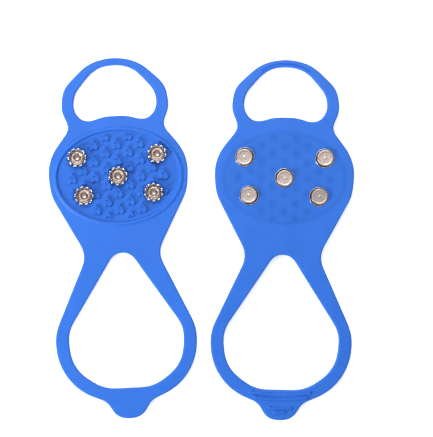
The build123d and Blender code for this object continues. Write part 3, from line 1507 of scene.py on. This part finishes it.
    def washer(self) -> Shape:
        """The washer: a ring with a groove round the rivet's head and a tumbled lip.

        Returns:
            Its shape about the spike's axis, marked with painted shade inside the lip.
        """
        groove_from, groove_to = self.washer_groove
        groove_floor = self.washer_half - 0.1
        lip = -self.washer_half - self.washer_lip
        shape = self.turned(
            (
                (self.hole_radius, 0.0, 0.0),
                (self.hole_radius, -self.washer_half, self.washer_rounding),
                (groove_from - 0.1, -self.washer_half, 0.05),
                (groove_from, groove_floor, self.washer_rounding),
                (groove_to, groove_floor, self.washer_rounding),
                (self.lip_radius - 0.04, lip, 0.1),
                (self.washer_radius, lip, 0.1),
                (self.washer_radius, self.washer_half, 0.2),
                (self.hole_radius, self.washer_half, self.washer_rounding),
                (self.hole_radius, 0.0, 0.0),
            )
        )
        out = np.hypot(shape.points[:, 0], shape.points[:, 1])
        # Painted shade inside the washer's lip, round the rivet's head
        shape.marks = smoothstep((self.lip_radius - out) / self.shade_width)
        return shape

    def shapes(self) -> dict[Metal, Shape]:
        """The three pieces.

        Returns:
            Each piece's shape at the spike's place, in the cleat's own frame.
        """
        made = {Metal.CROWN: self.crown(), Metal.RIVET: self.rivet(), Metal.WASHER: self.washer()}
        for shape in made.values():
            shape.points[:, :2] += np.array(self.place)
        return made


# --- A cleat ---


@dataclass
class Cleat:
    """One cleat of the pair: its moulding and five spikes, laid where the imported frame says."""

    side: Side
    spikes: tuple[Spike, ...]
    moulding: Moulding = field(default_factory=Moulding)

    def __post_init__(self) -> None:
        """Works out the cleat's place and the droop of its loops from its joints in the frame."""
        joints = {joint["name"]: joint for joint in frame["joints"]}
        toe = joints[f"{self.side.value}_toe_flex"]
        heel = joints[f"{self.side.value}_heel_flex"]
        toe_hinge, heel_hinge = np.array(toe["pos_m"]), np.array(heel["pos_m"])
        body = self.moulding
        half = body.thickness / 2
        self.across = -unit(np.array(toe["axis"], float))
        self.along = unit(toe_hinge - heel_hinge)
        self.down = np.cross(self.across, self.along)
        self.origin = toe_hinge - (body.toe_hinge * self.along + half * self.down) * METRES
        faces_up = self.down[2] > 0
        hinge_height = toe_hinge[2] / METRES
        tip = body.outline.corners[-1][1] - body.toe_hinge
        tab = body.heel_hinge - body.outline.corners[0][1]
        rib = body.heel_hinge - body.tab_ribs[-1][0] + body.rib_section[0][0]
        rib_height = -body.rib_section[-1][1]
        toe_droop = self.droop(hinge_height, [(tip, half)])
        contacts = [(tab, half)] + ([(rib, half + rib_height)] if faces_up else [])
        heel_droop = self.droop(hinge_height, contacts)
        self.toe_angle = -toe_droop if faces_up else toe_droop
        self.heel_angle = heel_droop if faces_up else -heel_droop

    @staticmethod
    def droop(height: float, contacts: list[Spot]) -> float:
        """The angle at which a loop, straight from its hinge, comes down to the floor.

        Args:
            height: the hinge's height above the floor.
            contacts: points of the loop, as (distance from the hinge, depth below it).

        Returns:
            The angle in radians.
        """
        return min(math.asin(height / math.hypot(a, b)) - math.atan2(b, a) for a, b in contacts)

    def placed(self, points: np.ndarray) -> np.ndarray:
        """Points of the cleat's own frame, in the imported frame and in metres."""
        axes = np.stack([self.across, self.along, self.down])
        return self.origin + points @ axes * METRES

    def build_moulding(self, material: bpy.types.Material) -> None:
        """Makes the pad and the two loops, the loops drooped down to the floor.

        Args:
            material: the silicone.
        """
        body = self.moulding
        skin = body.build()
        flat = np.vstack(skin.points)
        bent = body.drooped(flat, self.toe_angle, self.heel_angle)
        whole = Shape(self.placed(bent), skin.faces, marks=body.darkness(flat))
        whole.weigh_normals()
        name = self.side.value
        toe = whole.part(lambda middles: middles[:, 1] > body.toe_seam, flat)
        heel = whole.part(lambda middles: middles[:, 1] < body.heel_seam, flat)
        pad = whole.part(
            lambda middles: (middles[:, 1] <= body.toe_seam) & (middles[:, 1] >= body.heel_seam),
            flat,
        )
        pieces = {
            "tread_pad": make_object(f"{name}_moulded_pad", pad, material),
            "toe_loop": make_object(f"{name}_moulded_toe_loop", toe, material),
            "heel_loop": make_object(f"{name}_moulded_heel_loop", heel, material),
        }
        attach(pieces["tread_pad"], f"{name}_pad")
        middle = body.thickness / 2
        for loop, other, (start, end) in (
            ("toe_loop", f"{name}_toe", body.toe_bend),
            ("heel_loop", f"{name}_heel", body.heel_bend),
        ):
            ends = self.placed(np.array([[0.0, start, middle], [0.0, end, middle]]))
            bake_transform(pieces[loop])
        for node, piece in pieces.items():
            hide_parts(f"{name}_{node}")
            log.info("%s: %d faces", piece.name, len(piece.data.polygons))

    def build_spikes(self, materials: dict[Metal, bpy.types.Material]) -> None:
        """Makes the steel pieces of every spike.

        Args:
            materials: the steel of each kind of piece.
        """
        for number, spike in enumerate(self.spikes, start=1):
            for metal, shape in spike.shapes().items():
                shape.points = self.placed(shape.points)
                node = f"{self.side.value}_{metal.value}_{number}"
                piece = make_object(f"{node}_steel", shape, materials[metal])
                weld(piece)
                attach(piece, f"{self.side.value}_pad")
                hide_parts(node)
                log.info("%s: %d faces", piece.name, len(piece.data.polygons))


# --- Studio ---


@dataclass(frozen=True)
class Lamp:
    """One soft rectangular lamp that looks at a point of the floor."""

    name: str
    place: Colour
    aim: Colour
    size: float
    watts: float
    colour: Colour

    def build(self) -> None:
        """Adds the lamp."""
        data = bpy.data.lights.new(self.name, "AREA")
        data.size = self.size
        data.energy = self.watts
        data.color = self.colour
        lamp = bpy.data.objects.new(self.name, data)
        lamp.location = self.place
        look = Vector(self.aim) - Vector(self.place)
        lamp.rotation_euler = look.to_track_quat("-Z", "Y").to_euler()
        bpy.context.scene.collection.objects.link(lamp)


@dataclass(frozen=True)
class Studio:
    """A pale floor, soft light and a camera that looks straight down."""

    floor_half: float = 3.0
    floor_colour: Colour = (0.93, 0.935, 0.94)
    floor_shade: Colour = (0.90, 0.905, 0.91)
    floor_shade_share: float = 0.2
    floor_grain: Pattern = Pattern(1.2, 3.0)
    floor_roughness: float = 0.9
    floor_shine: float = 0.1
    floor_glow: float = 0.62
    view_centre: Spot = (0.0076, 0.01025)
    view_height: float = 0.2185
    lens: float = 135.0
    sensor: float = 36.0
    sky_strength: float = 0.70
    sky_stops: Spots = (
        (0.0, 0.5), (0.3, 0.42), (0.45, 0.08), (0.6, 0.08),
        (0.8, 0.7), (0.92, 0.8), (0.98, 0.42), (1.0, 0.3),
    )
    lamps: tuple[Lamp, ...] = (
        Lamp(
            "key_lamp", place=(-0.58, -0.36, 0.36), aim=(0.0, 0.0, 0.0),
            size=0.20, watts=5.2, colour=(1.0, 0.985, 0.96),
        ),
        Lamp(
            "back_lamp", place=(-0.05, 0.34, 0.50), aim=(0.0, 0.06, 0.0),
            size=0.40, watts=2.6, colour=(0.98, 0.99, 1.0),
        ),
    )

    def build_floor(self) -> None:
        """Adds the floor that the pair lies on."""
        mesh = bpy.data.meshes.new("studio_floor")
        half = self.floor_half
        corners = [(-half, -half, 0.0), (half, -half, 0.0), (half, half, 0.0), (-half, half, 0.0)]
        mesh.from_pydata(corners, [], [(0, 1, 2, 3)])
        material, bench = new_material("pale_floor")
        share = (bench.noise(self.floor_grain) * self.floor_shade_share).limited()
        set_surface(
            bench,
            {
                "Base Color": bench.mixed(share, self.floor_colour, self.floor_shade),
                "Roughness": self.floor_roughness,
                "Specular IOR Level": self.floor_shine,
                "Emission Color": (1.0, 1.0, 1.0, 1.0),
                "Emission Strength": self.floor_glow,
            },
        )
        mesh.materials.append(material)
        floor = bpy.data.objects.new("studio_floor", mesh)
        bpy.context.scene.collection.objects.link(floor)

    def build_sky(self) -> None:
        """Adds the soft surroundings: bright high up, with a dark band halfway."""
        world = bpy.data.worlds.new("soft_room")
        bpy.context.scene.world = world
        world.use_nodes = True
        world.node_tree.nodes.clear()
        bench = Bench(world.node_tree)
        direction = bench.add("ShaderNodeTexCoord", {}, {}, "Generated")
        height = bench.add("ShaderNodeSeparateXYZ", {}, {"Vector": direction}, "Z")
        sockets = {"Color": bench.ramp(height, self.sky_stops), "Strength": self.sky_strength}
        background = bench.add("ShaderNodeBackground", {}, sockets)
        bench.add("ShaderNodeOutputWorld", {}, {"Surface": background})

    def build_camera(self) -> None:
        """Adds the camera, straight above the pair."""
        data = bpy.data.cameras.new("top_camera")
        data.lens = self.lens
        data.sensor_width = self.sensor
        camera = bpy.data.objects.new("top_camera", data)
        distance = self.view_height / 2 / (self.sensor / 2 / self.lens)
        camera.location = (*self.view_centre, distance)
        camera.rotation_euler = (0.0, 0.0, 0.0)
        bpy.context.scene.collection.objects.link(camera)
        bpy.context.scene.camera = camera

    def build(self) -> None:
        """Adds everything that isn't part of the object."""
        self.build_floor()
        self.build_sky()
        self.build_camera()
        for lamp in self.lamps:
            lamp.build()
        bpy.context.scene.view_settings.view_transform = "Standard"
        log.info("studio: floor, sky, camera and %d lamps", len(self.lamps))


# --- The pair ---


@dataclass(frozen=True)
class Riveting:
    """How the five spikes of one cleat were put in, in the order of their places.

    Turns of the crowns and leans of the rivet heads are in degrees, and shifts of the heads in
    millimetres. The seed starts the numbers that vary the teeth.
    """

    turns: tuple[float, ...]
    seed: int
    shifts: Spots = ((0.0, 0.0),) * 5
    leans: Spots = ((0.0, 0.0),) * 5

    def spikes(self) -> tuple[Spike, ...]:
        """The five spikes.

        Returns:
            The spikes, in the order of their places.
        """
        settings = zip(Moulding().spike_places, self.turns, self.shifts, self.leans)
        return tuple(
            Spike(place, math.radians(turn), shift, lean, self.seed + number)
            for number, (place, turn, shift, lean) in enumerate(settings)
        )


RIVETING = {
    Side.LEFT: Riveting(turns=(4.0, 21.0, 11.0, 30.0, 16.0), seed=11),
    Side.RIGHT: Riveting(
        turns=(9.0, 26.0, 2.0, 14.0, 33.0),
        seed=31,
        shifts=((-0.17, 0.12), (0.17, -0.1), (-0.12, -0.2), (-0.3, 0.02), (0.18, 0.1)),
        leans=((0.6, 0.4), (0.8, -0.5), (-0.4, 1.1), (-0.3, -0.9), (1.2, 0.6)),
    ),
}


def main() -> None:
    """Builds the studio and both cleats and reports each piece."""
    logging.basicConfig(level=logging.INFO, format="%(message)s")
    Studio().build()
    silicone = SiliconeFinish().material()
    steels = {metal: finish.material() for metal, finish in STEEL.items()}
    for side, riveting in RIVETING.items():
        cleat = Cleat(side, riveting.spikes())
        cleat.build_moulding(silicone)
        cleat.build_spikes(steels)


if __name__ == "__main__":
    main()
